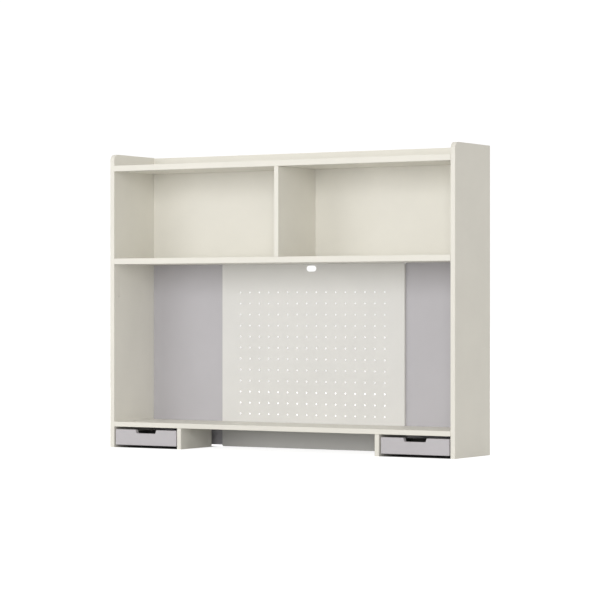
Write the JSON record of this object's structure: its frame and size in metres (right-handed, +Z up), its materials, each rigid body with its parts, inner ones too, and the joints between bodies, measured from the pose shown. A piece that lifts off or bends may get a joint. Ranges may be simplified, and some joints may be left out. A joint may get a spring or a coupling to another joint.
{
  "type": "desk hutch",
  "caption": "Open desk hutch of cream boards with two upper bays, a perforated steel centre panel, lilac grey back panels and small drawers under its lower shelf.",
  "frame": {"origin": "middle of the footprint, at desk level", "axes": "+X to the right of someone facing the front, +Y to the rear, +Z up"},
  "size_m": [1.2, 0.222, 0.905],
  "materials": {
    "cream_board": "satin melamine foil on particle board, cream",
    "lilac_board": "matt melamine foil on board, lilac grey",
    "cream_steel": "fine textured powder coat, cream",
    "drawer_board": "matt foil wrapped drawer board, dark grey",
    "slide_steel": "zinc plated steel",
    "cast_zinc": "cast zinc, as cast"
  },
  "bodies": {
    "root": {"left_side_panel": "cream_board", "right_side_panel": "cream_board", "top_board": "cream_board", "middle_shelf": "cream_board", "lower_shelf": "cream_board", "upper_divider": "cream_board", "left_drawer_divider": "cream_board", "right_drawer_divider": "cream_board", "upper_back_panel": "cream_board", "left_back_panel": "lilac_board", "right_back_panel": "lilac_board", "pegboard_panel": "cream_steel", "left_drawer_left_slide_rail": "slide_steel", "left_drawer_right_slide_rail": "slide_steel", "right_drawer_left_slide_rail": "slide_steel", "right_drawer_right_slide_rail": "slide_steel", "top_board_left_front_cam": "cast_zinc", "top_board_left_rear_cam": "cast_zinc", "top_board_right_front_cam": "cast_zinc", "top_board_right_rear_cam": "cast_zinc", "middle_shelf_left_front_cam": "cast_zinc", "middle_shelf_left_rear_cam": "cast_zinc", "middle_shelf_right_front_cam": "cast_zinc", "middle_shelf_right_rear_cam": "cast_zinc", "lower_shelf_left_front_cam": "cast_zinc", "lower_shelf_left_rear_cam": "cast_zinc", "lower_shelf_right_front_cam": "cast_zinc", "lower_shelf_right_rear_cam": "cast_zinc", "top_board_left_front_bolt": "slide_steel", "top_board_left_rear_bolt": "slide_steel", "top_board_right_front_bolt": "slide_steel", "top_board_right_rear_bolt": "slide_steel", "middle_shelf_left_front_bolt": "slide_steel", "middle_shelf_left_rear_bolt": "slide_steel", "middle_shelf_right_front_bolt": "slide_steel", "middle_shelf_right_rear_bolt": "slide_steel", "lower_shelf_left_front_bolt": "slide_steel", "lower_shelf_left_rear_bolt": "slide_steel", "lower_shelf_right_front_bolt": "slide_steel", "lower_shelf_right_rear_bolt": "slide_steel"},
    "left_drawer": {"left_drawer_front": "lilac_board", "left_drawer_left_side": "drawer_board", "left_drawer_right_side": "drawer_board", "left_drawer_back": "drawer_board", "left_drawer_bottom": "drawer_board", "left_drawer_left_slide_runner": "slide_steel", "left_drawer_right_slide_runner": "slide_steel"},
    "left_drawer_cages": {"left_drawer_left_slide_cage": "slide_steel", "left_drawer_right_slide_cage": "slide_steel"},
    "right_drawer": {"right_drawer_front": "lilac_board", "right_drawer_left_side": "drawer_board", "right_drawer_right_side": "drawer_board", "right_drawer_back": "drawer_board", "right_drawer_bottom": "drawer_board", "right_drawer_left_slide_runner": "slide_steel", "right_drawer_right_slide_runner": "slide_steel"},
    "right_drawer_cages": {"right_drawer_left_slide_cage": "slide_steel", "right_drawer_right_slide_cage": "slide_steel"}
  },
  "joints": [
    {"name": "left_drawer_slide", "type": "slide", "parent": "root", "child": "left_drawer", "axis": [0, -1, 0], "range_m": [0, 0.105]},
    {"name": "right_drawer_slide", "type": "slide", "parent": "root", "child": "right_drawer", "axis": [0, -1, 0], "range_m": [0, 0.105]},
    {"name": "left_cages_slide", "type": "slide", "parent": "root", "child": "left_drawer_cages", "axis": [0, -1, 0], "range_m": [0, 0.0525]},
    {"name": "right_cages_slide", "type": "slide", "parent": "root", "child": "right_drawer_cages", "axis": [0, -1, 0], "range_m": [0, 0.0525]}
  ],
  "couplings": [
    {"joint": "left_cages_slide", "follows": "left_drawer_slide", "ratio": 0.5},
    {"joint": "right_cages_slide", "follows": "right_drawer_slide", "ratio": 0.5}
  ]
}
